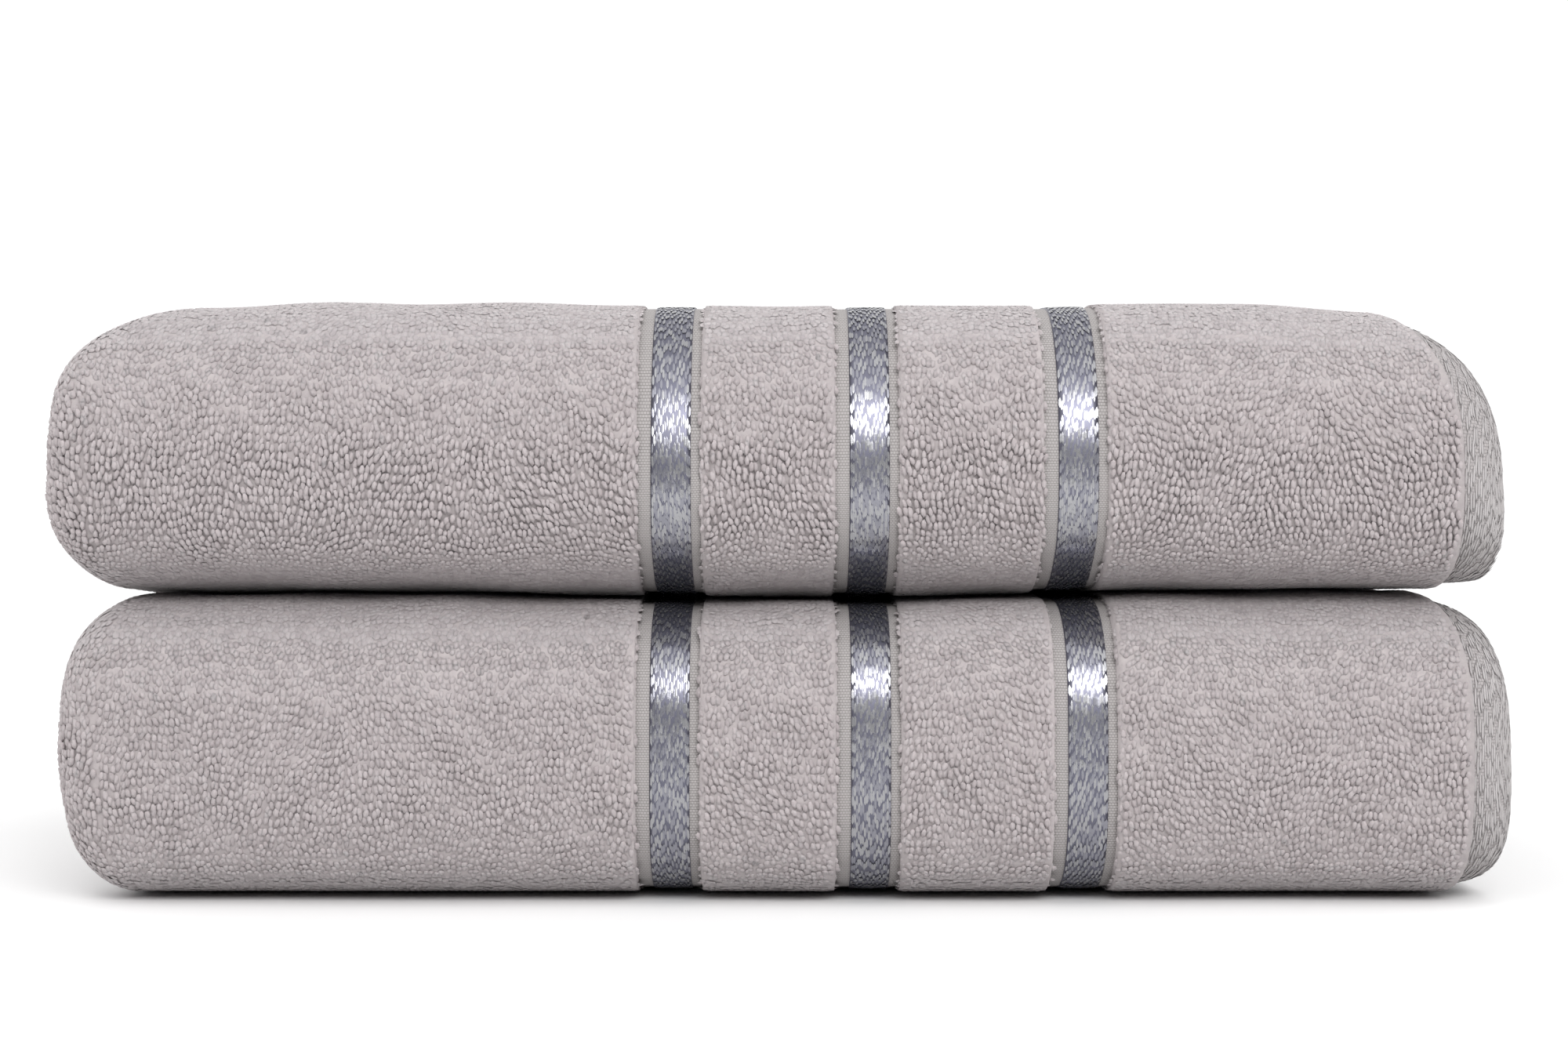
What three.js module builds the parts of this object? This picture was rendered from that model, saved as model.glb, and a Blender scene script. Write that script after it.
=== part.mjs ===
// Bath towel set: two folded terry bath towels, one lying on the other.
// Each towel is folded in half twice along its length, which gives a stack of four plies,
// and then in three across its width, with the last third wrapped round the front.
// Units are millimetres, X runs along the folded length, the front faces -Y and Z is up.
import * as THREE from "three";

// ---- Driving dimensions ----
const FOLDED_LENGTH = 350; // along X, a quarter of the open towel's length
const FOLDED_DEPTH = 233; // along Y, from the front wrap to the back fold
const PLY = 5.75; // one ply of terry with its pile, lightly pressed
const GAP = 0.3; // clearance between pieces that touch
const BACK_FOLD_CORE = 0.5; // radius left open at the heart of the back fold
const FREE_EDGE_INSET = 6; // the top flap's free edge stops this far short of the back
const TUCK_CLEARANCE = 3; // the tucked flap stops this far short of the front wrap's centre
const TOWEL_SHIFT = 2.8; // the upper towel lies this much further towards -X

const HEM_WIDTH = 20; // turned and sewn end hem, along X
const HEM_THICKNESS = 2.2; // turned flat weave
const SIDE_HEM_WIDTH = 9; // turned side hem, measured along the fold path
const SIDE_HEM_THICKNESS = 2.5;
const STITCH_WIDTH = 0.9; // row of lockstitch that closes the end hem
const STITCH_HEIGHT = 0.5;
const STITCH_INSET = 2; // from the hem's inner edge to the stitch row

const PILE = 3; // how far the pile stands above the flat weave
const CHANNEL_WIDTH = 15; // flat woven strip between two terry panels
const BAND_WIDTH = 10.4; // satin band woven on the strip
const BAND_THICKNESS = 0.6;
const BAND_PITCH = 50; // centre to centre
const FIRST_BAND = 102.3; // from the hem's outer edge to the centre of the nearest band
const BAND_COUNT = 3;

// ---- Facets of the round stretches ----
const WRAP_STEPS = 10;
const BACK_STEPS = 6;
const TURN_DIVISIONS = 3; // an arc of a section gets twice as many straight steps

// ---- Sizes that follow ----
const PLIES = 4;
const PITCH = PLY + GAP;
const STACK = PLIES * PITCH - GAP;
const BACK_RADIUS = STACK + BACK_FOLD_CORE;
const TOWEL_HEIGHT = 2 * BACK_RADIUS + GAP + STACK;
const WRAP_RADIUS = TOWEL_HEIGHT / 2;
const WRAP_Y = WRAP_RADIUS - FOLDED_DEPTH / 2; // centre line of the front wrap
const BACK_Y = FOLDED_DEPTH / 2 - BACK_RADIUS; // centre line of the back fold
const FREE_Y = FOLDED_DEPTH / 2 - FREE_EDGE_INSET; // top flap's free edge
const TUCK_Y = WRAP_Y + TUCK_CLEARANCE; // tucked flap's free edge
const HALF = FOLDED_LENGTH / 2;
const TURN_RADIUS = STACK / 2; // outer turn of the four ply stack
const SMALL_TURN_RADIUS = PLY + GAP / 2; // turn of two neighbouring plies
const LEFT_END = -HALF + TURN_RADIUS; // where the plies meet the left turns
const RIGHT_END = HALF - SMALL_TURN_RADIUS; // where the inner plies meet the right turn
const HEM_START = HALF - HEM_WIDTH;

const LOOKS = {
  terry: { color: 0xb9b1b0, roughness: 0.95 },
  weave: { color: 0xb5b1ae, roughness: 0.8 },
  satin: { color: 0xa3a3ad, roughness: 0.35 },
  thread: { color: 0xc4c0be, roughness: 0.6 },
};

// One station of the fold path: a point on the towel's outer face and the inward direction.
function station(y, z, inY, inZ) {
  return { y, z, inY, inZ };
}

// Stations along a half circle round (y, z). The side is -1 for the front, 1 for the back.
function halfTurn(y, z, radius, steps, side) {
  return Array.from({ length: steps + 1 }, (_, i) => {
    const angle = (Math.PI * i) / steps;
    const outY = side * Math.sin(angle);
    const outZ = -Math.cos(angle);
    return station(y + radius * outY, z + radius * outZ, -outY, -outZ);
  });
}

const BACK_FOLD = halfTurn(BACK_Y, BACK_RADIUS, BACK_RADIUS, BACK_STEPS, 1).reverse();
const FRONT_WRAP = halfTurn(WRAP_Y, WRAP_RADIUS, WRAP_RADIUS, WRAP_STEPS, -1);

// The outer face's path in the YZ plane, from the tucked flap's free edge, round the back
// fold, under the towel, round the front wrap and back to the top flap's free edge. An inset
// shortens it at both free edges.
function foldPath(inset) {
  const tuckedFlap = station(TUCK_Y + inset, 2 * BACK_RADIUS, 0, -1);
  const topFlap = station(FREE_Y - inset, TOWEL_HEIGHT, 0, -1);
  return [tuckedFlap, ...BACK_FOLD, ...FRONT_WRAP, topFlap];
}

const WHOLE_PATH = foldPath(0);
const TERRY_PATH = foldPath(SIDE_HEM_WIDTH + GAP);
const TOP_EDGE_PATH = [
  station(FREE_Y - SIDE_HEM_WIDTH, TOWEL_HEIGHT, 0, -1),
  station(FREE_Y, TOWEL_HEIGHT, 0, -1),
];
const TUCKED_EDGE_PATH = [
  station(TUCK_Y, 2 * BACK_RADIUS, 0, -1),
  station(TUCK_Y + SIDE_HEM_WIDTH, 2 * BACK_RADIUS, 0, -1),
];

// Sweeps a section along the fold path. The section's x is the towel's X and its y is the
// depth below the outer face.
function sweep(section, path) {
  const outline = section.getPoints(TURN_DIVISIONS);
  if (THREE.ShapeUtils.isClockWise(outline)) outline.reverse();
  const count = outline.length;
  const position = path.flatMap(({ y, z, inY, inZ }) =>
    outline.flatMap((p) => [p.x, y + p.y * inY, z + p.y * inZ]),
  );
  const index = [];
  for (let i = 0; i + 1 < path.length; i++) {
    for (let j = 0; j < count; j++) {
      const a = i * count + j;
      const b = i * count + ((j + 1) % count);
      index.push(a, b, a + count, b, b + count, a + count);
    }
  }
  const last = (path.length - 1) * count;
  for (const [a, b, c] of THREE.ShapeUtils.triangulateShape(outline, [])) {
    index.push(a, c, b, last + a, last + b, last + c);
  }
  const geometry = new THREE.BufferGeometry();
  geometry.setAttribute("position", new THREE.Float32BufferAttribute(position, 3));
  geometry.setIndex(index);
  geometry.computeVertexNormals();
  return geometry;
}

function rectangle(x0, x1, depth0, depth1) {
  return new THREE.Shape()
    .moveTo(x0, depth0)
    .lineTo(x1, depth0)
    .lineTo(x1, depth1)
    .lineTo(x0, depth1);
}

// A half ring in the section plane. It opens towards +X at the left end of the plies, and
// towards -X at the right end.
function halfRing(x, depth, outer, inner, leftEnd) {
  const start = Math.PI / 2;
  const end = leftEnd ? 1.5 * Math.PI : -Math.PI / 2;
  return new THREE.Shape()
    .absarc(x, depth, outer, start, end, !leftEnd)
    .absarc(x, depth, inner, end, start, leftEnd);
}

// Ply 0 is the outer one. Each ply starts at the left turns and ends at this X.
const PLY_ENDS = [HEM_START - GAP, HEM_START - GAP, RIGHT_END - GAP, RIGHT_END - GAP];

function plySection(ply, x0, x1) {
  return rectangle(x0, x1, ply * PITCH, ply * PITCH + PLY);
}

// A side hem lies in the middle of its ply's thickness.
function sideHemSection(ply) {
  const depth = ply * PITCH + (PLY - SIDE_HEM_THICKNESS) / 2;
  return rectangle(LEFT_END + GAP, PLY_ENDS[ply], depth, depth + SIDE_HEM_THICKNESS);
}

function makePiece(towel, name, look, section, path) {
  const material = new THREE.MeshStandardMaterial({ ...LOOKS[look], metalness: 0 });
  const mesh = new THREE.Mesh(sweep(section, path), material);
  mesh.name = towel.name + "_" + name;
  towel.add(mesh);
}

// The outer ply's terry panels, with the woven strips and satin bands between them.
function addOuterPly(towel) {
  let panelEnd = PLY_ENDS[0];
  for (let band = 1; band <= BAND_COUNT; band++) {
    const centre = HALF - FIRST_BAND - (band - 1) * BAND_PITCH;
    const [left, right] = [centre - CHANNEL_WIDTH / 2, centre + CHANNEL_WIDTH / 2];
    const strip = rectangle(left, right, PILE, PLY);
    const satin = rectangle(
      centre - BAND_WIDTH / 2,
      centre + BAND_WIDTH / 2,
      PILE - GAP - BAND_THICKNESS,
      PILE - GAP,
    );
    makePiece(towel, "terry_panel_" + band, "terry", plySection(0, right + GAP, panelEnd), TERRY_PATH);
    makePiece(towel, "woven_strip_" + band, "weave", strip, TERRY_PATH);
    makePiece(towel, "satin_band_" + band, "satin", satin, TERRY_PATH);
    panelEnd = left - GAP;
  }
  const main = plySection(0, LEFT_END + GAP, panelEnd);
  makePiece(towel, "terry_panel_main", "terry", main, TERRY_PATH);
}

function addInnerPlies(towel) {
  ["second_ply", "third_ply", "fourth_ply"].forEach((name, i) => {
    const section = plySection(i + 1, LEFT_END + GAP, PLY_ENDS[i + 1]);
    makePiece(towel, name, "terry", section, TERRY_PATH);
  });
}

// The turns where the cloth doubles back on itself at the ends of the plies. They run from
// one side hem's edge to the other.
function addTurns(towel) {
  const middle = STACK / 2;
  const lastPair = 2 * PITCH + SMALL_TURN_RADIUS;
  const outer = halfRing(LEFT_END, middle, TURN_RADIUS, TURN_RADIUS - PLY, true);
  const inner = halfRing(LEFT_END, middle, SMALL_TURN_RADIUS, GAP / 2, true);
  const hemSide = halfRing(RIGHT_END, lastPair, SMALL_TURN_RADIUS, GAP / 2, false);
  makePiece(towel, "outer_end_turn", "terry", outer, WHOLE_PATH);
  makePiece(towel, "inner_end_turn", "terry", inner, WHOLE_PATH);
  makePiece(towel, "hem_side_turn", "terry", hemSide, WHOLE_PATH);
}

// The end hems of the outer ply and of the ply beneath it, each with its row of stitching.
function addEndHems(towel) {
  const stitchStart = HEM_START + STITCH_INSET;
  ["outer", "inner"].forEach((which, ply) => {
    const face = ply * PITCH + PILE;
    const hem = rectangle(HEM_START, HALF, face, face + HEM_THICKNESS);
    const thread = rectangle(
      stitchStart,
      stitchStart + STITCH_WIDTH,
      face - GAP - STITCH_HEIGHT,
      face - GAP,
    );
    makePiece(towel, which + "_end_hem", "weave", hem, WHOLE_PATH);
    makePiece(towel, which + "_hem_stitching", "thread", thread, WHOLE_PATH);
  });
}

// Each ply has a turned side hem at the top flap's free edge and at the tucked flap's.
function addSideHems(towel) {
  for (let ply = 0; ply < PLIES; ply++) {
    const section = sideHemSection(ply);
    makePiece(towel, "top_side_hem_" + (ply + 1), "weave", section, TOP_EDGE_PATH);
    makePiece(towel, "tucked_side_hem_" + (ply + 1), "weave", section, TUCKED_EDGE_PATH);
  }
}

function makeTowel(name, x, z) {
  const towel = new THREE.Group();
  towel.name = name;
  towel.position.set(x, 0, z);
  addOuterPly(towel);
  addInnerPlies(towel);
  addTurns(towel);
  addEndHems(towel);
  addSideHems(towel);
  return towel;
}

const towelSet = new THREE.Group();
towelSet.add(makeTowel("lower", TOWEL_SHIFT / 2, 0));
towelSet.add(makeTowel("upper", -TOWEL_SHIFT / 2, TOWEL_HEIGHT + GAP));

export default towelSet;
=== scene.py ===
"""Bath towel set: two folded terry bath towels, one lying on the other.

Each towel is one cloth, 1400 by 700 mm. It is folded in half twice along its length, and
the stack of four plies is then folded in three across its width. A place on the open cloth
is (along, across, lift), in metres: along runs from the hem at the banded end, across from
the side hem that is tucked in, and lift is the height over the middle of the ply, on the
face that shows.
"""

import math

import bmesh
import bpy
import numpy as np
from mathutils import Matrix, Vector


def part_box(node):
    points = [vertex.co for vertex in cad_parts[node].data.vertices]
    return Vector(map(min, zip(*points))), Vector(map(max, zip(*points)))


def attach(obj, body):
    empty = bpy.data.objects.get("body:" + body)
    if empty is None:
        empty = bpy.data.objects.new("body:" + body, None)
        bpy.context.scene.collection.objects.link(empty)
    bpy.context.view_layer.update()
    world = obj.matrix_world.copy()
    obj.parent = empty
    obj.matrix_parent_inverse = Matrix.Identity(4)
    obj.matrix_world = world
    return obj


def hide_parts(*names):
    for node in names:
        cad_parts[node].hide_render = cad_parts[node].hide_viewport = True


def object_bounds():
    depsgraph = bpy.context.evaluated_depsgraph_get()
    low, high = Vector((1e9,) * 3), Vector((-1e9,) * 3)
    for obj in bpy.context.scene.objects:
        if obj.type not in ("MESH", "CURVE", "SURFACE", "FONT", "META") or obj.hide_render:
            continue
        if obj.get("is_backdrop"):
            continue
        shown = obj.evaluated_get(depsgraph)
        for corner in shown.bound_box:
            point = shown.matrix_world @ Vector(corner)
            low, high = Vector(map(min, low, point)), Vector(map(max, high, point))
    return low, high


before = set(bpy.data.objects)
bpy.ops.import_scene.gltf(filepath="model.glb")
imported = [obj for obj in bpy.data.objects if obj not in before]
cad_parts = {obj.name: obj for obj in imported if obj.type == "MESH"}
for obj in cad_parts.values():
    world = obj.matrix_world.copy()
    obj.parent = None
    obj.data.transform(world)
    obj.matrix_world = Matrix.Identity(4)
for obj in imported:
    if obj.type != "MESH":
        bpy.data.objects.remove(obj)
CAD_BOX = [list(corner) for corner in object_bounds()]
MM = 0.001

# ---- Sizes of the cloth ----
PILE_ROW = 2.0 * MM  # rows of loops, across the towel
PILE_STEP = 1.35 * MM  # loops in a row
OPEN_LOOP = (0.7 * MM, 1.48 * MM, 0.85 * MM)  # half sizes of a loop's crown: along, across, lift
PRESSED_LOOP = (0.9 * MM, 1.25 * MM, 0.17 * MM)  # the same, where the pile is pressed flat
PILE_SHOWS = (0.95 * MM, 0.12 * MM)  # height of the loops over the ground: open, pressed
STRIP_THICKNESS = 0.45 * MM
STRIP_DEPTH = (1.9 * MM, 0.9 * MM)  # the flat woven face under the pile: open, pressed
BAND_THICKNESS = 0.4 * MM
SATIN_FLOAT = (0.48 * MM, 2.2 * MM, 0.025 * MM)  # pitch and length of a float, and its rise
HEM_FLOAT = (0.62 * MM, 4.2 * MM, 0.08 * MM)
HEM_HALF = 1.1 * MM
SIDE_HEM_HALF = 1.4 * MM
SIDE_HEM_WIDTH = 9 * MM
STITCH_LENGTH = 2.6 * MM
STITCH_PITCH = 3.2 * MM
HEM_CURL = 12 * MM  # radius on which the outer hem curls down over the inner plies
PLY_GAP = 0.3 * MM
BACK_CORE = 0.5 * MM

# ---- How the loops and floats lie ----
SEED = 7
OPEN_FROM = 0.08  # loops stand open where the pile is opened by more than this share
PRESSED_KEPT = 0.74  # share of the loops made where the pile is pressed, as each spreads out there
LOOP_JITTER = (0.16, 0.12)  # how far loops stray, in steps and in rows
LOOP_GROWTH = (0.88, 1.12)  # smallest and largest loop, over the mean one
LOOP_TURN = 0.2  # spread of the loops' directions, in radians
LOOP_LEAN = (0.22, 0.15)  # mean and spread of an open loop's lean, in radians
STILL_LOOSE = 0.1  # how much a pressed loop still strays and leans, over an open one
FLOAT_JITTER = (0.03, 0.12, 0.1)  # how far floats stray, in pitches, lengths and rises
FLOAT_TURNS = (0.03, 0.016, 0.045)  # spread of a float's turns about lift, along and across
GOLDEN_STEP = 0.618  # sets each column of satin on from the last, so that few ends meet

# ---- Colours of the loops ----
LOOP_TINTS = ("a19a9b", "9b9495", "a69fa0")


def corners(node):
    """The lowest and highest corners of a node of the frame, as arrays."""
    low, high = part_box(node)
    return np.array(low), np.array(high)


# ---- Camera ----
CAMERA_HEIGHT = 0.0912
CAMERA_DISTANCE = 0.620  # from the front of the wraps
LENS = 60.7


def add_camera():
    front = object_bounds()[0][1]
    data = bpy.data.cameras.new("camera")
    data.lens = LENS
    data.sensor_width = 36
    camera = bpy.data.objects.new("camera", data)
    camera.location = (0.0011, front - CAMERA_DISTANCE, CAMERA_HEIGHT)
    camera.rotation_euler = (math.radians(90), 0, 0)
    bpy.context.scene.collection.objects.link(camera)
    bpy.context.scene.camera = camera


add_camera()


# ---- The fold ----
class Track:
    """A path in a plane, made of straight stretches and turns, measured along its length."""

    def __init__(self, start, heading):
        self.point = np.array(start, float)
        self.heading = heading
        self.length = 0.0
        self.table = []

    def step(self, length, curvature):
        row = (self.length, *self.point, self.heading, curvature)
        self.table.append(row)
        self.length += length
        x, y, heading = self.at(np.array([self.length]))
        self.point = np.array([x[0], y[0]])
        self.heading = heading[0]
        return self

    def straight(self, length):
        return self.step(length, 0.0)

    def turn(self, radius, angle):
        """Turns left by this angle in degrees, or right where it is negative."""
        angle = math.radians(angle)
        return self.step(radius * abs(angle), math.copysign(1 / radius, angle))

    def at(self, length):
        """The places and headings at these lengths. The last stretches go on past the ends."""
        table = np.array(self.table)
        row = np.clip(np.searchsorted(table[:, 0], length, side="right") - 1, 0, None)
        start, x, y, heading, curvature = table[row].T
        run = length - start
        now = heading + curvature * run
        safe = np.where(curvature == 0, 1, curvature)
        turned_x = (np.sin(now) - np.sin(heading)) / safe
        turned_y = -(np.cos(now) - np.cos(heading)) / safe
        x = x + np.where(curvature == 0, run * np.cos(heading), turned_x)
        y = y + np.where(curvature == 0, run * np.sin(heading), turned_y)
        return x, y, now


def smooth(value):
    """0 below 0, 1 above 1, and a smooth rise between."""
    value = np.clip(value, 0, 1)
    return value * value * (3 - 2 * value)


def ripple(x, y, z, wavelength, seed):
    """A smooth wavy field from -1 to 1, made of a few plane waves."""
    rng = np.random.default_rng(seed)
    total = 0
    for _ in range(6):
        direction = rng.normal(size=3)
        direction /= np.linalg.norm(direction)
        size = 2 * math.pi / (wavelength * rng.uniform(0.7, 1.5))
        phase = rng.uniform(0, 2 * math.pi)
        total = total + np.sin(size * (direction[0] * x + direction[1] * y + direction[2] * z) + phase)
    return total / 3.5


class Towel:
    """One folded towel: where each place of its open cloth lies."""

    def __init__(self, name, ends, trim, fullness, sag, droop, curl, openness, shifts, seed):
        self.name = name
        self.body = name + "_towel"
        self.seed = seed
        self.ends = ends
        self.sag = sag
        self.droop = droop
        self.trim = trim
        self.fullness = fullness
        self.curl = curl
        self.openness = openness
        turn_low, turn_high = corners(name + "_outer_end_turn")
        hem_low, hem_high = corners(name + "_outer_end_hem")
        first, second = corners(name + "_top_side_hem_1"), corners(name + "_top_side_hem_2")
        self.bottom, top = turn_low[2], turn_high[2]
        self.height = top - self.bottom
        self.left, self.right = turn_low[0], hem_high[0]
        self.middle = (self.left + self.right) / 2
        self.half = (self.right - self.left) / 2
        self.pitch = first[1][2] - second[1][2]
        self.ply = self.pitch - PLY_GAP
        self.stack = 4 * self.pitch - PLY_GAP
        self.front, self.back = turn_low[1], turn_high[1]
        self.free_edge = first[1][1]
        self.tucked_edge = corners(name + "_tucked_side_hem_1")[0][1]
        self.hem = hem_high[0] - hem_low[0]
        self.lay_length_track()
        self.lay_width_track()
        moved = [np.array([shift, 0, 0]) for shift in shifts]
        bands = [corners(f"{name}_satin_band_{k}") for k in (1, 2, 3)]
        strips = [corners(f"{name}_woven_strip_{k}") for k in (1, 2, 3)]
        self.bands = [(low + by, high + by) for (low, high), by in zip(bands, moved)]
        aside = np.array([0.5 * MM, 0, 0])
        self.strips = [(low + by - aside, high + by - aside) for (low, high), by in zip(strips, moved)]

    def lay_length_track(self):
        """From the outer hem to the inner one, as X and depth under the towel's face."""
        pitch, ply = self.pitch, self.ply
        hem_x = self.right - HEM_HALF
        left_x = self.left + ply / 2 + 1.5 * pitch
        right_x = hem_x - 6 * MM - ply / 2 - pitch / 2
        track = Track((hem_x, ply / 2 + HEM_CURL), math.radians(270))
        track.turn(HEM_CURL, -90)
        self.curl_end = track.length
        self.curl_x = track.point[0]
        track.straight(self.curl_x - left_x)
        self.outer_turn = [track.length]
        track.turn(1.5 * pitch, -180)
        self.outer_turn.append(track.length)
        track.straight(right_x - left_x)
        self.hem_turn = [track.length]
        track.turn(pitch / 2, -180)
        self.hem_turn.append(track.length)
        track.straight(right_x - left_x)
        self.inner_turn = [track.length]
        track.turn(pitch / 2, 180)
        self.inner_turn.append(track.length)
        track.straight(hem_x - HEM_CURL + 2 * MM - left_x)
        self.length_track = track

    def lay_width_track(self):
        """From the tucked side hem to the free one, as Y and Z at the middle of the stack."""
        back_radius = self.stack + BACK_CORE
        wrap_radius = self.height / 2
        wrap_y = self.front + wrap_radius
        back_y = self.back - back_radius
        half = self.stack / 2
        start = (self.tucked_edge, self.bottom + 2 * back_radius - half)
        track = Track(start, 0)
        track.straight(back_y - self.tucked_edge)
        self.back_turn = [track.length]
        track.turn(back_radius - half, -180)
        self.back_turn.append(track.length)
        track.straight(back_y - wrap_y)
        self.front_turn = [track.length]
        track.turn(wrap_radius - half, -180)
        self.front_turn.append(track.length)
        track.straight(self.free_edge - wrap_y)
        self.width_track = track
        self.wrap_y = wrap_y

    def along_at(self, x):
        """The place along the cloth where the outer ply lies at this X."""
        return self.curl_end + self.curl_x - x

    def level_at(self, across):
        """-1 where the cloth lies under the stack, 1 where it lies on top, and between at the front."""
        start, end = self.front_turn
        return -np.cos(math.pi * np.clip((across - start) / (end - start), 0, 1))

    def open_at(self, across):
        """1 where the wrap opens the pile, and 0 where the towel's weight presses it flat."""
        level = self.level_at(across)
        return self.openness * smooth((level + 0.8) / 0.4) * (1 - smooth((level - 0.05) / 0.75))

    def pile_shows(self, across):
        open_pile = self.open_at(across) ** 1.6
        return PILE_SHOWS[1] + (PILE_SHOWS[0] - PILE_SHOWS[1]) * open_pile

    def strip_lift(self, across):
        """The lift of the flat woven face, which lies deepest at the front of the wrap."""
        deep = 1 - smooth((np.abs(self.level_at(across)) - 0.7) / 0.28)
        lift = self.ply / 2 - STRIP_DEPTH[1] - (STRIP_DEPTH[0] - STRIP_DEPTH[1]) * deep
        from_edge = np.minimum(across, self.width_track.length - across)
        at_edge = SIDE_HEM_HALF * 0.5
        return at_edge + (lift - at_edge) * smooth(from_edge / SIDE_HEM_WIDTH - 0.8)

    def place(self, along, across, lift):
        """Where places of the open cloth lie. Along and across are measured on the tracks."""
        x, depth, heading = self.length_track.at(along)
        x = x - lift * np.sin(heading)
        depth = depth + lift * np.cos(heading)
        # The hem's curl is pressed flatter below than on top.
        share = (self.level_at(across) + 1) / 2
        to_edge = smooth((self.width_track.length - across) / (120 * MM))
        curl = self.curl[1] + (self.curl[0] - self.curl[1]) * share * to_edge
        face = self.ply / 2 - lift
        depth = np.where(along < self.curl_end, face + (depth - face) * curl, depth)
        y, z, heading = self.width_track.at(across)
        out = self.stack / 2 - depth
        y = y - out * np.sin(heading)
        z = z + out * np.cos(heading)
        return self.settle(x, y, z)

    def settle(self, x, y, z):
        """Presses the neat fold into its soft shape. It is one smooth field for all plies."""
        centre = self.bottom + self.height / 2
        level = (z - centre) / (self.height / 2)
        # The wrap is deeper than a half circle and its shoulders are fuller.
        deep = 50 * MM
        radius = self.height / 2
        hinge = self.front + deep
        ahead = np.clip(self.wrap_y - y, 0, None)
        behind = np.clip(y - self.wrap_y, 0, None)
        share = (self.back - hinge) / (self.back - self.wrap_y)
        y = hinge - ahead * deep / radius + behind * share
        a = ahead / radius
        round_now = np.sqrt(a * a + level * level) + 1e-9
        power = self.fullness
        full = (np.abs(a) ** power + np.abs(level) ** power) ** (1 / power) + 1e-9
        fuller = np.where(ahead > 0, 1 + (round_now / full - 1) * smooth(a * 3), 1)
        y = np.where(ahead > 0, hinge - ahead * deep / radius * fuller, y)
        z = centre + (z - centre) * fuller
        # The front hangs a little.
        z = z - self.sag * np.cos(np.clip(level, -1, 1) * math.pi / 2) ** 2 * smooth(a * 1.2)
        # The ends are drawn in at the top and at the bottom.
        left, right = self.ends
        from_end = self.half - np.abs(x - self.middle)
        near = np.clip(1 - from_end / (95 * MM), 0, None) ** 2
        drawn = 0
        on_left = x <= self.middle
        for side, ((top, top_power), (low, low_power)) in ((on_left, left), (~on_left, right)):
            height = np.clip(np.abs(level), 0, 1)
            pull = np.where(level > 0, top * height**top_power, low * height**low_power)
            drawn = drawn + np.where(side, pull, 0)
        drawn = drawn + np.where(x > self.middle, self.trim[1], self.trim[0])
        x = x - np.sign(x - self.middle) * drawn * near
        droop = np.where(x > self.middle, self.droop[1], self.droop[0])
        z = z - droop * smooth(1.2 - from_end / (50 * MM)) * smooth((level - 0.1) / 0.7)
        # Soft unevenness.
        above = smooth(z / (12 * MM))
        wave = ripple(x, y, z, 110 * MM, 3) * 0.9 + ripple(x, y, z, 38 * MM, 4) * 0.35
        z = z + wave * MM * above
        y = y + ripple(x, y, z, 90 * MM, 5) * 1.0 * MM * smooth(a)
        return x, y, z


# ---- Meshes ----
def add_object(name, mesh, materials):
    for material in materials:
        mesh.materials.append(material)
    made = bpy.data.objects.new(name, mesh)
    bpy.context.scene.collection.objects.link(made)
    return made


def from_flat(towel, bm, name, materials, thickness):
    """Folds a mesh that was made on the open cloth. Its UV map is the open cloth in metres."""
    layer = bm.loops.layers.uv.new("cloth")
    for face in bm.faces:
        face.smooth = True
        for loop in face.loops:
            loop[layer].uv = loop.vert.co.xy
    flat = np.array([v.co for v in bm.verts])
    along, across, lift = flat.T
    x, y, z = towel.place(along, across, thickness(along, across, lift))
    for vert, co in zip(bm.verts, np.stack([x, y, z], 1)):
        vert.co = co
    bmesh.ops.recalc_face_normals(bm, faces=bm.faces)
    mesh = bpy.data.meshes.new(name)
    bm.to_mesh(mesh)
    bm.free()
    return add_object(name, mesh, materials)


def slab(alongs, acrosses):
    """A flat closed slab with cuts at these lines, with lift 0.5 on top and -0.5 below."""
    bm = bmesh.new()
    bmesh.ops.create_grid(bm, x_segments=len(alongs) - 1, y_segments=len(acrosses) - 1, size=1)
    columns, rows = np.array(alongs), np.array(acrosses)
    for vert in bm.verts:
        i = round((vert.co.x + 1) / 2 * (len(columns) - 1))
        j = round((vert.co.y + 1) / 2 * (len(rows) - 1))
        vert.co = (columns[i], rows[j], 0.5)
    under = bmesh.ops.duplicate(bm, geom=bm.faces[:] + bm.edges[:] + bm.verts[:])["geom"]
    low = [item for item in under if isinstance(item, bmesh.types.BMVert)]
    bmesh.ops.translate(bm, verts=low, vec=(0, 0, -1))
    lower = [item for item in under if isinstance(item, bmesh.types.BMFace)]
    bmesh.ops.reverse_faces(bm, faces=lower)
    rim = [edge for edge in bm.edges if edge.is_boundary]
    bmesh.ops.bridge_loops(bm, edges=rim)
    return bm


def cuts(start, end, step, stops=()):
    """Lines from start to end about a step apart, with one at each stop."""
    marks = sorted({start, end, *[s for s in stops if start < s < end]})
    lines = []
    for a, b in zip(marks, marks[1:]):
        count = max(1, round((b - a) / step))
        lines += list(np.linspace(a, b, count, endpoint=False))
    return [*lines, end]


def fine_cuts(start, end, coarse, turns, fine):
    """Lines a coarse step apart, and a fine step apart inside each turn."""
    marks = [start, *[m for turn in turns for m in turn], end]
    lines = []
    for k, (a, b) in enumerate(zip(marks, marks[1:])):
        step = fine[(k - 1) // 2] if k % 2 else coarse
        lines += cuts(a, b, step)[:-1]
    return [*lines, end]


def width_cuts(towel, start, end, coarse=7 * MM):
    inside = (towel.back_turn, towel.front_turn)
    return fine_cuts(start, end, coarse, inside, (3 * MM, 3.2 * MM))


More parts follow.
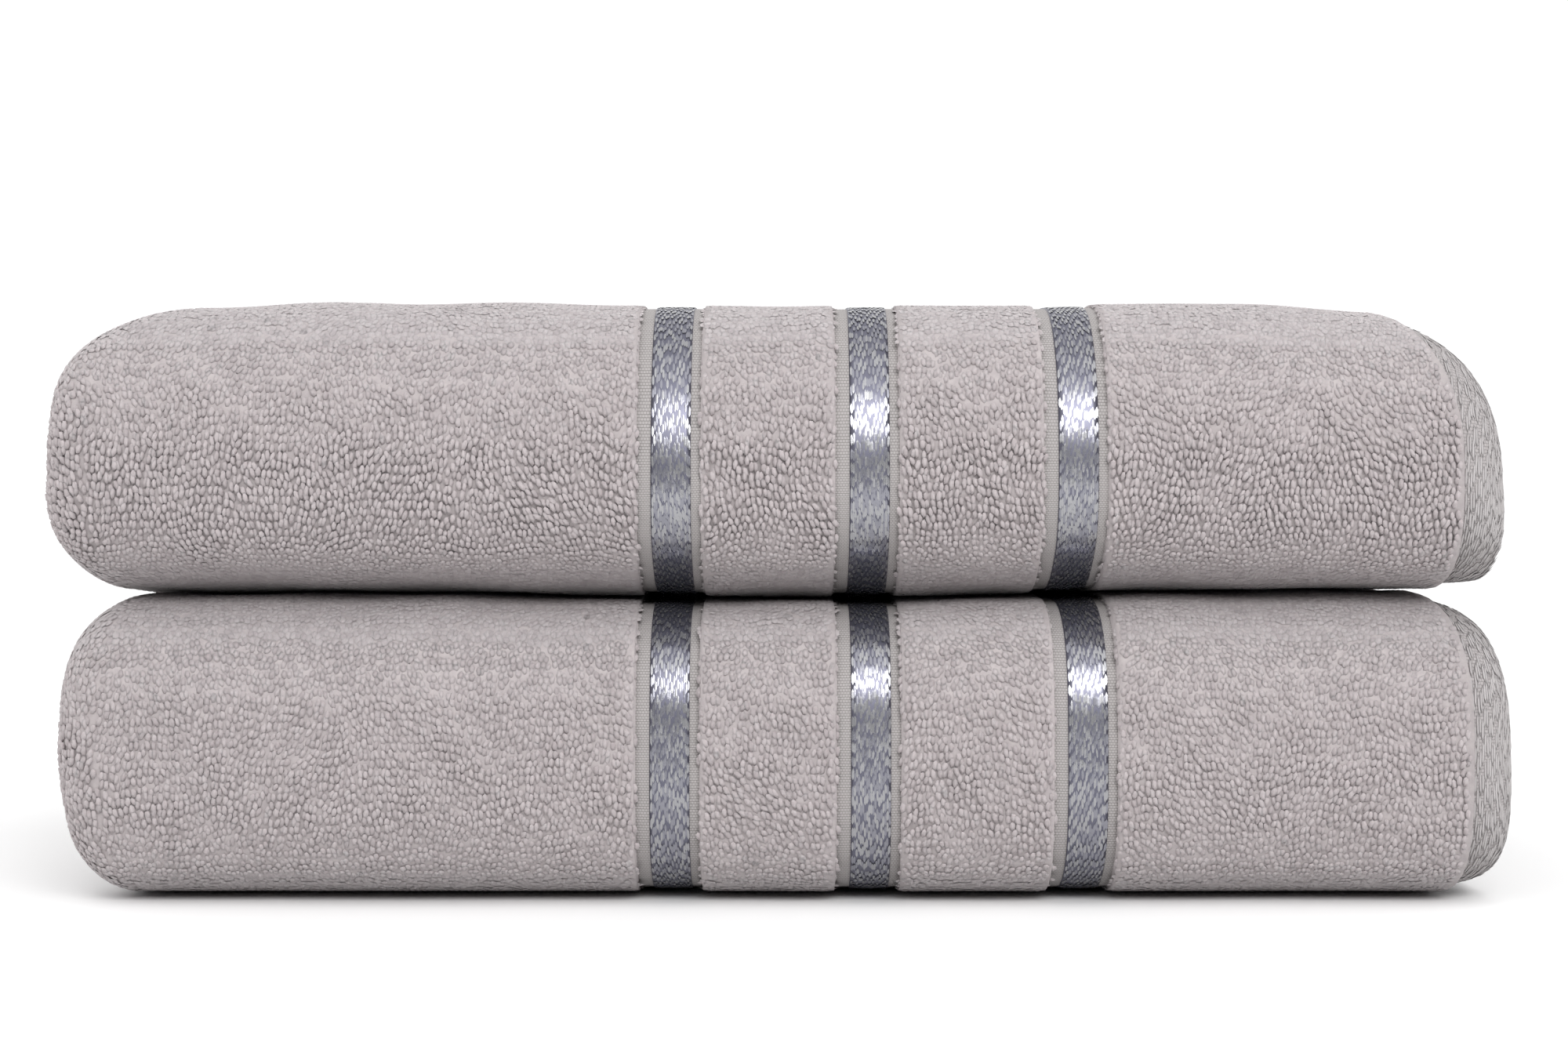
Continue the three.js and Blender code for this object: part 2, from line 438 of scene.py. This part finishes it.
# ---- Colours and materials ----
def linear(colour):
    """An sRGB hex colour as linear red, green and blue, with full alpha."""
    values = [int(colour[i : i + 2], 16) / 255 for i in (0, 2, 4)]
    return [*[v / 12.92 if v <= 0.04045 else ((v + 0.055) / 1.055) ** 2.4 for v in values], 1]


def add_node(tree, kind, settings=None, inputs=None, stops=()):
    """Adds a node. Settings are its properties. An input is a value, or a socket to link.

    Stops are the place and colour of each end of a colour ramp.
    """
    node = tree.nodes.new(kind)
    for key, value in (settings or {}).items():
        setattr(node, key, value)
    for key, value in (inputs or {}).items():
        if isinstance(value, bpy.types.NodeSocket):
            tree.links.new(value, node.inputs[key])
        else:
            node.inputs[key].default_value = value
    for k, (place, colour) in enumerate(stops):
        node.color_ramp.elements[k].position = place
        node.color_ramp.elements[k].color = linear(colour)
    return node


def new_material(name):
    material = bpy.data.materials.new(name)
    material.use_nodes = True
    return material, material.node_tree, material.node_tree.nodes["Principled BSDF"]


def fibre_bump(tree, shader, size, strength, distance):
    """Fine unevenness of spun fibre, at this size. Gives back its height as a socket."""
    place = add_node(tree, "ShaderNodeTexCoord").outputs["Object"]
    inputs = {"Vector": place, "Scale": 1 / size, "Detail": 3.0, "Roughness": 0.6}
    height = add_node(tree, "ShaderNodeTexNoise", inputs=inputs).outputs["Fac"]
    inputs = {"Height": height, "Strength": strength, "Distance": distance}
    bump = add_node(tree, "ShaderNodeBump", inputs=inputs)
    tree.links.new(bump.outputs["Normal"], shader.inputs["Normal"])
    return height


def cotton_loop(name, colour):
    """Uncut loops of ring spun cotton: matt, with a soft rim of light from loose fibres."""
    material, tree, shader = new_material(name)
    shader.inputs["Base Color"].default_value = linear(colour)
    shader.inputs["Roughness"].default_value = 0.9
    shader.inputs["Specular IOR Level"].default_value = 0.2
    shader.inputs["Sheen Weight"].default_value = 0.1
    shader.inputs["Sheen Roughness"].default_value = 0.5
    # Light passes through the fibres for about a millimetre.
    shader.inputs["Subsurface Weight"].default_value = 0.5
    shader.inputs["Subsurface Radius"].default_value = (1.0, 0.9, 0.9)
    shader.inputs["Subsurface Scale"].default_value = 1.2 * MM
    # The two strands of the yarn are about 0.6 mm wide.
    fibre_bump(tree, shader, 0.6 * MM, 0.25, 0.1 * MM)
    return material


def terry_ground():
    """The ground under the loops: the same cotton, darker in the gaps where light is lost."""
    material, tree, shader = new_material("terry_ground_cotton")
    patches = fibre_bump(tree, shader, 1.7 * MM, 0.4, 0.25 * MM)
    shades = [(0.3, "9c9596"), (0.7, "a9a2a2")]
    colour = add_node(tree, "ShaderNodeValToRGB", inputs={"Fac": patches}, stops=shades)
    tree.links.new(colour.outputs["Color"], shader.inputs["Base Color"])
    shader.inputs["Roughness"].default_value = 0.95
    shader.inputs["Specular IOR Level"].default_value = 0.2
    shader.inputs["Sheen Weight"].default_value = 0.1
    return material


def plain_weave(name, pitch, dark, light, roughness):
    """Plain weave: warp and weft cross in a fine check, with a dark hole at each crossing."""
    material, tree, shader = new_material(name)
    open_cloth = add_node(tree, "ShaderNodeUVMap", {"uv_map": "cloth"}).outputs["UV"]
    threads = add_node(
        tree,
        "ShaderNodeTexBrick",
        {"offset": 0.5, "offset_frequency": 2},
        {
            "Vector": open_cloth,
            "Scale": 1.0,
            "Brick Width": pitch,
            "Row Height": pitch * 0.6,
            "Mortar Size": pitch * 0.12,
            "Mortar Smooth": 1.0,
            "Color1": (1, 1, 1, 1),
            "Color2": (0.75, 0.75, 0.75, 1),
            "Mortar": (0, 0, 0, 1),
        },
    ).outputs["Color"]
    shades = [(0.0, dark), (0.7, light)]
    colour = add_node(tree, "ShaderNodeValToRGB", inputs={"Fac": threads}, stops=shades)
    tree.links.new(colour.outputs["Color"], shader.inputs["Base Color"])
    inputs = {"Height": threads, "Strength": 0.6, "Distance": 0.12 * MM}
    bump = add_node(tree, "ShaderNodeBump", inputs=inputs)
    tree.links.new(bump.outputs["Normal"], shader.inputs["Normal"])
    shader.inputs["Roughness"].default_value = roughness
    return material


def viscose_satin(name, colour, roughness):
    """Bright viscose floats: a silvery face that glints where a float bends to the light."""
    material, tree, shader = new_material(name)
    shader.inputs["Base Color"].default_value = linear(colour)
    shader.inputs["Metallic"].default_value = 0.75
    shader.inputs["Roughness"].default_value = roughness
    # The filaments of a float are about 0.15 mm wide.
    fibre_bump(tree, shader, 0.15 * MM, 0.25, 0.03 * MM)
    return material


def hem_thread(name, colour):
    """Two-ply cotton of the hem's ribs: smoother than the pile, with a dull gloss."""
    material, tree, shader = new_material(name)
    shader.inputs["Base Color"].default_value = linear(colour)
    shader.inputs["Roughness"].default_value = 0.75
    shader.inputs["Specular IOR Level"].default_value = 0.3
    fibre_bump(tree, shader, 0.3 * MM, 0.4, 0.08 * MM)
    return material


def sewing_thread():
    """Spun polyester thread: a little glossier than the cotton round it."""
    material, tree, shader = new_material("polyester_sewing_thread")
    place = add_node(tree, "ShaderNodeTexCoord").outputs["Object"]
    inputs = {"Vector": place, "Scale": 1 / (0.4 * MM), "Detail": 2.0}
    twist = add_node(tree, "ShaderNodeTexNoise", inputs=inputs).outputs["Fac"]
    shades = [(0.3, "948e8d"), (0.7, "a8a3a2")]
    colour = add_node(tree, "ShaderNodeValToRGB", inputs={"Fac": twist}, stops=shades)
    tree.links.new(colour.outputs["Color"], shader.inputs["Base Color"])
    shader.inputs["Roughness"].default_value = 0.6
    return material


# ---- Pieces ----
def scatter(name, material, shape, centres, axes, sizes, turns, smooth_faces=True):
    """Copies one small closed shape to many places, each turned in its own axes."""
    bm = bmesh.new()
    shape(bm)
    bmesh.ops.triangulate(bm, faces=bm.faces)
    base = np.array([v.co for v in bm.verts])
    faces = np.array([[v.index for v in f.verts] for f in bm.faces])
    bm.free()
    scaled = base[None] * sizes[:, None]
    turned = np.einsum("nij,nkj->nki", turns, scaled)
    points = np.einsum("nji,nkj->nki", axes, turned) + centres[:, None]
    count = len(centres)
    index = (faces[None] + np.arange(count)[:, None, None] * len(base)).reshape(-1)
    mesh = bpy.data.meshes.new(name)
    mesh.vertices.add(count * len(base))
    mesh.vertices.foreach_set("co", points.astype(np.float32).reshape(-1))
    mesh.loops.add(len(index))
    mesh.loops.foreach_set("vertex_index", index.astype(np.int32))
    mesh.polygons.add(count * len(faces))
    mesh.polygons.foreach_set("loop_start", np.arange(0, len(index), 3, dtype=np.int32))
    mesh.polygons.foreach_set("use_smooth", np.full(count * len(faces), smooth_faces))
    mesh.update(calc_edges=True)
    mesh.validate()
    return add_object(name, mesh, [material])


def loop_crown(bm):
    bmesh.ops.create_icosphere(bm, subdivisions=1, radius=1)


def flat_crown(bm):
    """A loop that lies pressed: only its upper face is seen, so two cones are enough."""
    bmesh.ops.create_uvsphere(bm, u_segments=6, v_segments=2, radius=1)


def float_of_thread(bm):
    """A spindle with its points along the thread, which runs across the towel."""
    bmesh.ops.create_uvsphere(bm, u_segments=4, v_segments=3, radius=1)
    turn = Matrix.Rotation(math.radians(90), 3, "X")
    bmesh.ops.rotate(bm, verts=bm.verts, cent=(0, 0, 0), matrix=turn)


def local_axes(towel, along, across, lift):
    """Centres, and the directions of along, across and lift there, as rows."""
    step = 0.2 * MM
    here = np.stack(towel.place(along, across, lift), 1)
    ahead = np.stack(towel.place(along + step, across, lift), 1) - here
    aside = np.stack(towel.place(along, across + step, lift), 1) - here
    ahead /= np.linalg.norm(ahead, axis=1, keepdims=True)
    aside -= ahead * (ahead * aside).sum(1, keepdims=True)
    aside /= np.linalg.norm(aside, axis=1, keepdims=True)
    out = np.stack(towel.place(along, across, lift + step), 1) - here
    normal = np.cross(ahead, aside)
    normal *= np.sign((normal * out).sum(1, keepdims=True))
    return here, np.stack([ahead, aside, normal], 1)


def face_share(towel, along, across):
    """The area that the face of the cloth takes up at these places, over its area laid flat."""
    step = 0.5 * MM
    lift = np.full_like(along, towel.ply / 2)
    here = np.stack(towel.place(along, across, lift), 1)
    ahead = np.stack(towel.place(along + step, across, lift), 1) - here
    aside = np.stack(towel.place(along, across + step, lift), 1) - here
    flat = np.where(bends(towel, along), 1.6, 1.0)
    return np.linalg.norm(np.cross(ahead, aside), axis=1) / step**2 / flat


def bends(towel, along):
    """True where the cloth turns round an end of the stack."""
    turns = (towel.outer_turn, towel.hem_turn)
    return np.any([(along > start) & (along < end) for start, end in turns], axis=0)


def turn_matrices(yaw, pitch, roll):
    """Rotations about lift, then along, then across."""
    zero, one = np.zeros_like(yaw), np.ones_like(yaw)
    cy, sy, cp, sp, cr, sr = (f(a) for a in (yaw, pitch, roll) for f in (np.cos, np.sin))
    about_lift = np.stack([cy, -sy, zero, sy, cy, zero, zero, zero, one], 1).reshape(-1, 3, 3)
    about_along = np.stack([one, zero, zero, zero, cp, -sp, zero, sp, cp], 1).reshape(-1, 3, 3)
    about_across = np.stack([cr, zero, sr, zero, one, zero, -sr, zero, cr], 1).reshape(-1, 3, 3)
    return about_lift @ about_along @ about_across


def even_rows(towel, along, across):
    """Rows a pile row apart on the face, which is longer than the track where it bends out."""
    fine = np.arange(across[0], across[1], 0.25 * MM)
    first = np.full_like(fine, along[0])
    face = np.stack(towel.place(first, fine, np.full_like(fine, towel.ply / 2 - 0.6 * MM)), 1)
    steps = np.linalg.norm(np.diff(face, axis=0), axis=1)
    run = np.concatenate([[0], np.cumsum(steps)])
    return np.interp(np.arange(0, run[-1], PILE_ROW), run, fine)


def rows_of_loops(towel, rng, along, across, spread=1.0):
    """Jittered places of the loops in a stretch of cloth: along and across are its limits.

    Spread is how much longer the face is than the track where it bends round an end.
    """
    rows = even_rows(towel, along, across)
    steps = np.arange(along[0], along[1], PILE_STEP / spread)
    a, b = np.meshgrid(steps, rows)
    a = a + (rng.uniform(0, PILE_STEP, len(rows)))[:, None]
    # The rows wander, in long waves and in short ones.
    long_wave, short_wave = np.sin(a / (7 * MM) + b / (31 * MM)), np.sin(a / (2.9 * MM))
    b = b + 0.5 * PILE_ROW * long_wave + PILE_ROW * 0.25 * short_wave
    a = a + rng.normal(0, LOOP_JITTER[0], a.shape) * PILE_STEP
    b = b + rng.normal(0, LOOP_JITTER[1], b.shape) * PILE_ROW
    keep = (a < along[1]) & (b < across[1]) & (b > across[0])
    return a[keep], b[keep]


def loop_stretches(towel):
    """The stretches of the cloth whose loops can be seen: limits along and across."""
    end = towel.width_track.length - 8 * MM
    wrapped = towel.back_turn[0]
    bottom = (towel.back_turn[1] + 16 * MM, towel.front_turn[0] - 16 * MM)
    marks = [towel.hem - 1 * MM]
    for low, high in towel.strips:
        marks += [towel.along_at(high[0]), towel.along_at(low[0])]
    marks.append(towel.outer_turn[0])
    for a, b in zip(marks[::2], marks[1::2]):
        yield (a, b), (wrapped - 10 * MM, bottom[0])
        yield (a, b), (bottom[1], end)
    turn_start, turn_end = towel.outer_turn
    yield (turn_start, turn_end), (8 * MM, end), 1.28
    yield (turn_end, turn_end + 10 * MM), (8 * MM, end)
    yield towel.hem_turn, (8 * MM, end), 1.8
    yield (towel.hem_turn[0] - 8 * MM, towel.hem_turn[0]), (8 * MM, end)
    yield (towel.hem_turn[1], towel.hem_turn[1] + 8 * MM), (8 * MM, end)


def add_loops(towel, materials):
    """The pile that shows, dealt at random to pieces of slightly different shades."""
    rng = np.random.default_rng(SEED + towel.seed)
    places = [rows_of_loops(towel, rng, *stretch) for stretch in loop_stretches(towel)]
    along = np.concatenate([a for a, _ in places])
    across = np.concatenate([b for _, b in places])
    # Where the fold draws the cloth together, fewer loops find room on its face.
    room = face_share(towel, along, across)
    pressed_share = np.where(towel.open_at(across) > OPEN_FROM, 1.0, PRESSED_KEPT)
    kept = rng.uniform(0, 1, len(along)) < 1.1 * room * pressed_share
    along, across = along[kept], across[kept]
    count = len(along)
    opened = towel.open_at(across)
    share = opened[:, None]
    sizes = np.array(OPEN_LOOP) * share + np.array(PRESSED_LOOP) * (1 - share)
    sizes = sizes * rng.uniform(*LOOP_GROWTH, (count, 3))
    loose = STILL_LOOSE + opened
    lift = towel.ply / 2 - 0.8 * sizes[:, 2]
    lift = lift + rng.normal(0, 0.1 * MM, count) * loose
    centres, axes = local_axes(towel, along, across, lift)
    clump = ripple(*centres.T, 13 * MM, 12) * 0.24 * MM * loose
    # The pile is rounded off beside each strip.
    edges = [towel.along_at(side[0]) for strip in towel.strips for side in strip]
    from_edge = np.abs(along[:, None] - np.array(edges)).min(1)
    rounded = 0.7 * MM * (1 - smooth(from_edge / (1.6 * MM)))
    centres = centres + axes[:, 2] * (clump - rounded)[:, None]
    # Neighbouring loops lie much the same way, as if they were brushed.
    comb = ripple(*centres.T, 22 * MM, 11) * 0.34 + ripple(*centres.T, 60 * MM, 13) * 0.25
    yaw = comb + rng.normal(0, LOOP_TURN, count)
    pitch = rng.normal(*LOOP_LEAN, count) * loose
    roll = rng.normal(0, LOOP_TURN, count) * (0.3 + 0.7 * opened)
    turns = turn_matrices(yaw, pitch, roll)
    deal = rng.integers(0, len(materials), count)
    pieces = []
    is_open = opened > OPEN_FROM
    for state, here, shape in (("open", is_open, loop_crown), ("pressed", ~is_open, flat_crown)):
        for k, material in enumerate(materials):
            mine = here & (deal == k)
            piece = scatter(
                f"{towel.name}_{state}_loops_{k + 1}",
                material,
                shape,
                centres[mine],
                axes[mine],
                sizes[mine],
                turns[mine],
                smooth_faces=state == "open",
            )
            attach(piece, towel.body)
            pieces.append(piece)
    return pieces


def add_cloth(towel, material):
    """The terry ground, in one piece from hem to hem and from side hem to side hem."""
    stops = []
    for low, high in towel.strips:
        for x in (low[0], high[0]):
            edge = towel.along_at(x)
            stops += [edge - 0.4 * MM, edge + 0.4 * MM]
    turns = (towel.outer_turn, towel.hem_turn, towel.inner_turn)
    start, end = towel.hem - 2 * MM, towel.length_track.length - towel.hem + 2 * MM
    alongs = fine_cuts(start, end, 9 * MM, turns, (3 * MM, 2 * MM, 2 * MM))
    alongs = sorted({*alongs, *stops})
    acrosses = width_cuts(towel, 4 * MM, towel.width_track.length - 4 * MM)

    def thickness(along, across, lift):
        channel = np.zeros_like(along)
        for low, high in towel.strips:
            middle = towel.along_at((low[0] + high[0]) / 2)
            half = (high[0] - low[0]) / 2
            channel += np.abs(along - middle) < half
        core = towel.ply / 2 - towel.pile_shows(across)
        return np.where(channel > 0, lift * 0.7 * MM - 1.0 * MM, lift * 2 * core)

    piece = from_flat(towel, slab(alongs, acrosses), towel.name + "_terry_cloth", [material], thickness)
    panels = [f"{towel.name}_terry_panel_{k}" for k in (1, 2, 3, "main")]
    plies = [f"{towel.name}_{which}_ply" for which in ("second", "third", "fourth")]
    turned = [f"{towel.name}_{which}_turn" for which in ("outer_end", "inner_end", "hem_side")]
    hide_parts(*panels, *plies, *turned)
    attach(piece, towel.body)
    return piece


def add_woven(towel, name, along, across, low, face, step, material, nodes):
    """A woven stretch. Low is the lift of its underside, face(along, across) that of its top."""
    alongs = cuts(*along, step)
    acrosses = width_cuts(towel, *across)

    def thickness(a, b, c):
        return np.where(c > 0, face(a, b), low)

    name = f"{towel.name}_{name}_cloth"
    piece = from_flat(towel, slab(alongs, acrosses), name, [material], thickness)
    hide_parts(*[f"{towel.name}_{node}" for node in nodes])
    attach(piece, towel.body)
    return piece


def seen_across(towel):
    """The stretches of a band or hem that can be seen: the back fold, then the wrap and top."""
    yield towel.back_turn[0] - 10 * MM, towel.back_turn[1] + 25 * MM
    yield towel.front_turn[0] - 25 * MM, towel.width_track.length - 6 * MM


def add_floats(towel, name, along, size, face, materials, slot, seed):
    """Floats of thread side by side, each column set on from the last so that few ends meet.

    Size is a float's pitch, length and rise, and face(along, across) the lift that it lies on.
    """
    rng = np.random.default_rng(SEED + seed)
    pitch, length, rise = size
    pieces = []
    columns = np.arange(along[0] + 0.7 * pitch, along[1] - 0.6 * pitch, pitch)
    found = []
    for start, end in seen_across(towel):
        rows = np.arange(start + length, end - length, length)
        a, b = np.meshgrid(columns, rows)
        if slot == "satin":
            even = np.arange(len(columns)) * GOLDEN_STEP
            stagger = (even + rng.uniform(-0.22, 0.22, len(columns))) % 1
        else:
            stagger = rng.uniform(0, 1, len(columns))
        b = b + stagger[None] * length
        found.append((a.ravel(), b.ravel()))
    a = np.concatenate([f[0] for f in found])
    b = np.concatenate([f[1] for f in found])
    count = len(a)
    a = a + rng.normal(0, FLOAT_JITTER[0], count) * pitch
    b = b + rng.normal(0, FLOAT_JITTER[1], count) * length
    lift = face(a, b) + rng.normal(0, FLOAT_JITTER[2], count) * rise
    centres, axes = local_axes(towel, a, b, lift)
    sizes = np.array([pitch * 0.66, length * 0.64, rise]) * rng.uniform(0.9, 1.1, (count, 3))
    turns = turn_matrices(*[rng.normal(0, spread, count) for spread in FLOAT_TURNS])
    deal = rng.integers(0, len(materials), count)
    for k, material in enumerate(materials):
        mine = deal == k
        piece = scatter(
            f"{towel.name}_{name}_floats_{k + 1}",
            material,
            float_of_thread,
            centres[mine],
            axes[mine],
            sizes[mine],
            turns[mine],
            smooth_faces=slot != "satin",
        )
        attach(piece, towel.body)
        pieces.append(piece)
    return pieces


def add_bands(towel, looks):
    """The woven strips without pile, and the satin bands on them."""

    def strip_face(along, across):
        return towel.strip_lift(across)

    pieces = []
    across = (3 * MM, towel.width_track.length - 3 * MM)
    for k, ((low, high), (band_low, band_high)) in enumerate(zip(towel.strips, towel.bands), 1):
        edges = (towel.along_at(high[0]) - 1 * MM, towel.along_at(low[0]) + 1 * MM)
        pieces.append(
            add_woven(
                towel,
                f"woven_strip_{k}",
                edges,
                across,
                -STRIP_THICKNESS,
                strip_face,
                2 * MM,
                looks["strip"],
                [f"woven_strip_{k}"],
            )
        )
        edges = (towel.along_at(band_high[0]) + 0.5 * MM, towel.along_at(band_low[0]) - 0.5 * MM)
        middle, half = sum(edges) / 2, (edges[1] - edges[0]) / 2

        def satin_face(a, b, middle=middle, half=half):
            crown = 0.12 * MM * (np.abs(a - middle) / half) ** 4
            return towel.strip_lift(b) + BAND_THICKNESS - crown

        pieces.append(
            add_woven(
                towel,
                f"satin_band_{k}",
                edges,
                across,
                0,
                satin_face,
                1.3 * MM,
                # The band's slab takes the satin ground, painted darker than its floats as shade in the
                # slits between them.
                looks["satin"][-1],
                [f"satin_band_{k}"],
            )
        )
        pieces += add_floats(
            towel, f"satin_band_{k}", edges, SATIN_FLOAT, satin_face, looks["satin"][:-1], "satin", k
        )
    return pieces


def add_end_hems(towel, looks):
    """The hem that shows and the one at the other end, with their rows of stitches."""
    across = (0, towel.width_track.length)
    end = towel.length_track.length
    hems = {"outer": (0, towel.hem), "inner": (end - towel.hem, end)}
    pieces = []
    for which, along in hems.items():
        middle, half = sum(along) / 2, towel.hem / 2

        def hem_face(a, b, middle=middle, half=half):
            return towel.strip_lift(b) * 0.6 + 0.2 * MM - 0.4 * MM * (np.abs(a - middle) / half) ** 4

        pieces.append(
            add_woven(
                towel,
                f"{which}_end_hem",
                along,
                across,
                -1.4 * MM,
                hem_face,
                1.5 * MM,
                looks["hem"],
                [f"{which}_end_hem"],
            )
        )
        if which == "outer":
            pieces += add_floats(
                towel, "outer_end_hem", along, HEM_FLOAT, hem_face, looks["hem_threads"], "flat_weave", 9
            )
        seam = towel.hem - 2 * MM if which == "outer" else end - towel.hem + 2 * MM
        pieces.append(add_stitches(towel, which, seam, hem_face, looks["thread"]))
    return pieces


def add_stitches(towel, which, seam, face, material):
    """A row of lockstitch: each stitch is a short plump length of thread."""
    across = np.arange(2 * MM, towel.width_track.length - 2 * MM, STITCH_PITCH)
    along = np.full_like(across, seam)
    centres, axes = local_axes(towel, along, across, face(along, across) + 0.1 * MM)
    zero = np.zeros_like(across)
    sizes = np.tile([0.25 * MM, STITCH_LENGTH / 2, 0.25 * MM], (len(across), 1))
    turns = turn_matrices(zero, zero, zero)
    name = f"{towel.name}_{which}_hem_stitching"
    piece = scatter(name + "_thread", material, loop_crown, centres, axes, sizes, turns)
    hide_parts(name)
    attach(piece, towel.body)
    return piece


def add_side_hems(towel, material):
    """The turned selvedges: the one tucked in, and the one at the free edge on top."""
    width = SIDE_HEM_WIDTH
    length = towel.width_track.length
    turns = (towel.outer_turn, towel.hem_turn, towel.inner_turn)
    start, end = towel.hem - 1 * MM, towel.length_track.length - towel.hem + 1 * MM
    alongs = fine_cuts(start, end, 7 * MM, turns, (2 * MM, 1.5 * MM, 1.5 * MM))
    pieces = []
    for which, across in {"tucked": (0, width), "top": (length - width, length)}.items():
        middle = sum(across) / 2

        def thickness(a, b, c):
            edge = np.abs(b - middle) / (width / 2)
            return 2 * c * SIDE_HEM_HALF * (1 - 0.3 * edge**6)

        acrosses = cuts(*across, 1.2 * MM)
        name = f"{towel.name}_{which}_side_hem"
        piece = from_flat(towel, slab(alongs, acrosses), name, [material], thickness)
        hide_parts(*[f"{name}_{ply}" for ply in (1, 2, 3, 4)])
        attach(piece, towel.body)
        pieces.append(piece)
    return pieces


def build_towel(towel, looks):
    """All the pieces of one towel. They go with its cloth, which is one folded sheet."""
    cloth = add_cloth(towel, looks["ground"])
    parts = add_loops(towel, looks["loops"])
    parts += add_bands(towel, looks)
    parts += add_end_hems(towel, looks)
    parts += add_side_hems(towel, looks["hem"])
    return cloth


# ---- Stage ----
def add_light(name, place, aim, size, power):
    data = bpy.data.lights.new(name, "AREA")
    data.shape = "RECTANGLE"
    data.size, data.size_y = size
    data.energy = power
    light = bpy.data.objects.new(name, data)
    light.location = place
    way = Vector(aim) - Vector(place)
    light.rotation_euler = way.to_track_quat("-Z", "Y").to_euler()
    bpy.context.scene.collection.objects.link(light)


def add_stage():
    bm = bmesh.new()
    bmesh.ops.create_grid(bm, x_segments=1, y_segments=1, size=6)
    mesh = bpy.data.meshes.new("floor")
    bm.to_mesh(mesh)
    bm.free()
    material, tree, shader = new_material("white_table")
    shader.inputs["Base Color"].default_value = linear("f0f0f0")
    shader.inputs["Roughness"].default_value = 0.8
    floor = add_object("floor", mesh, [material])
    floor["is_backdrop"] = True
    add_world()
    add_light("front_strip", (0.28, -1.5, 0.94), (0, -0.1, 0.07), (0.95, 0.54), 16.5)
    bpy.context.scene.view_settings.view_transform = "Standard"


def add_world():
    """A white room: brighter above the front, and darker low in front, for the satin's dark band."""
    world = bpy.data.worlds.new("studio")
    bpy.context.scene.world = world
    world.use_nodes = True
    tree = world.node_tree
    way = add_node(tree, "ShaderNodeTexCoord").outputs["Generated"]
    parts = add_node(tree, "ShaderNodeSeparateXYZ", inputs={"Vector": way})
    shares = []
    # Where the share goes from 0 to 1, for the low front and then for the high front.
    ranges = (("Y", -0.3, -0.85), ("Z", 0.4, 0.12), ("Y", 0.0, -0.4), ("Z", 0.3, 0.6))
    for name, start, end in ranges:
        inputs = {"Value": parts.outputs[name], "From Min": start, "From Max": end}
        share = add_node(tree, "ShaderNodeMapRange", {"interpolation_type": "SMOOTHSTEP"}, inputs)
        shares.append(share.outputs["Result"])
    product = {"operation": "MULTIPLY"}
    low_front = add_node(tree, "ShaderNodeMath", product, {0: shares[0], 1: shares[1]})
    high_front = add_node(tree, "ShaderNodeMath", product, {0: shares[2], 1: shares[3]})
    darker = {0: low_front.outputs[0], 1: -1.02, 2: 1.06}
    strength = add_node(tree, "ShaderNodeMath", {"operation": "MULTIPLY_ADD"}, darker)
    brighter = {0: high_front.outputs[0], 1: 0.55, 2: strength.outputs[0]}
    strength = add_node(tree, "ShaderNodeMath", {"operation": "MULTIPLY_ADD"}, brighter)
    background = tree.nodes["Background"]
    background.inputs["Color"].default_value = (1, 1, 1, 1)
    tree.links.new(strength.outputs[0], background.inputs["Strength"])


looks = {
    "ground": terry_ground(),
    "loops": [cotton_loop(f"cotton_loops_{k}", tint) for k, tint in enumerate(LOOP_TINTS, 1)],
    "strip": plain_weave("grosgrain_cotton", 0.7 * MM, "757170", "9f9b9a", 0.8),
    "satin": [
        viscose_satin("viscose_satin_bright", "98989b", 0.25),
        viscose_satin("viscose_satin_shaded", "84848c", 0.26),
        # The satin's ground: its own blue-grey, painted much darker than the floats as shade in the
        # slits between them.
        viscose_satin("viscose_satin_ground", "646471", 0.36),
    ],
    "hem": plain_weave("hem_cotton_ground", 0.9 * MM, "7b7777", "9c9797", 0.8),
    "hem_threads": [
        hem_thread("hem_cotton_rib_light", "a9a5a5"),
        hem_thread("hem_cotton_rib_dark", "a39f9f"),
    ],
    "thread": sewing_thread(),
}
# Each end is drawn in at its top and at its bottom, by a length and with a power that
# gives the curve its shape: the left end, then the right one.
lower = Towel(
    "lower",
    ends=(((7 * MM, 3), (8 * MM, 2)), ((6 * MM, 3), (2 * MM, 3))),
    trim=(0.8 * MM, 1.5 * MM),
    fullness=3.2,
    sag=0,
    droop=(0, 0),
    curl=(0.65, 0.4),
    openness=0.7,
    shifts=(-1.4 * MM, -2.5 * MM, 0),
    seed=1,
)
upper = Towel(
    "upper",
    ends=(((36 * MM, 5), (5 * MM, 2)), ((23 * MM, 3), (0, 3))),
    trim=(1 * MM, 0.3 * MM),
    fullness=2.5,
    sag=8 * MM,
    droop=(1 * MM, 2 * MM),
    curl=(1.0, 0.08),
    openness=1.0,
    shifts=(-0.8 * MM, 0, 3.1 * MM),
    seed=2,
)
lower_cloth = build_towel(lower, looks)
build_towel(upper, looks)
add_stage()

sizes = {"cad": CAD_BOX, "visual": [list(corner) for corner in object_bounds()]}
{k: [[float(v) for v in c] for c in box] for k, box in sizes.items()}
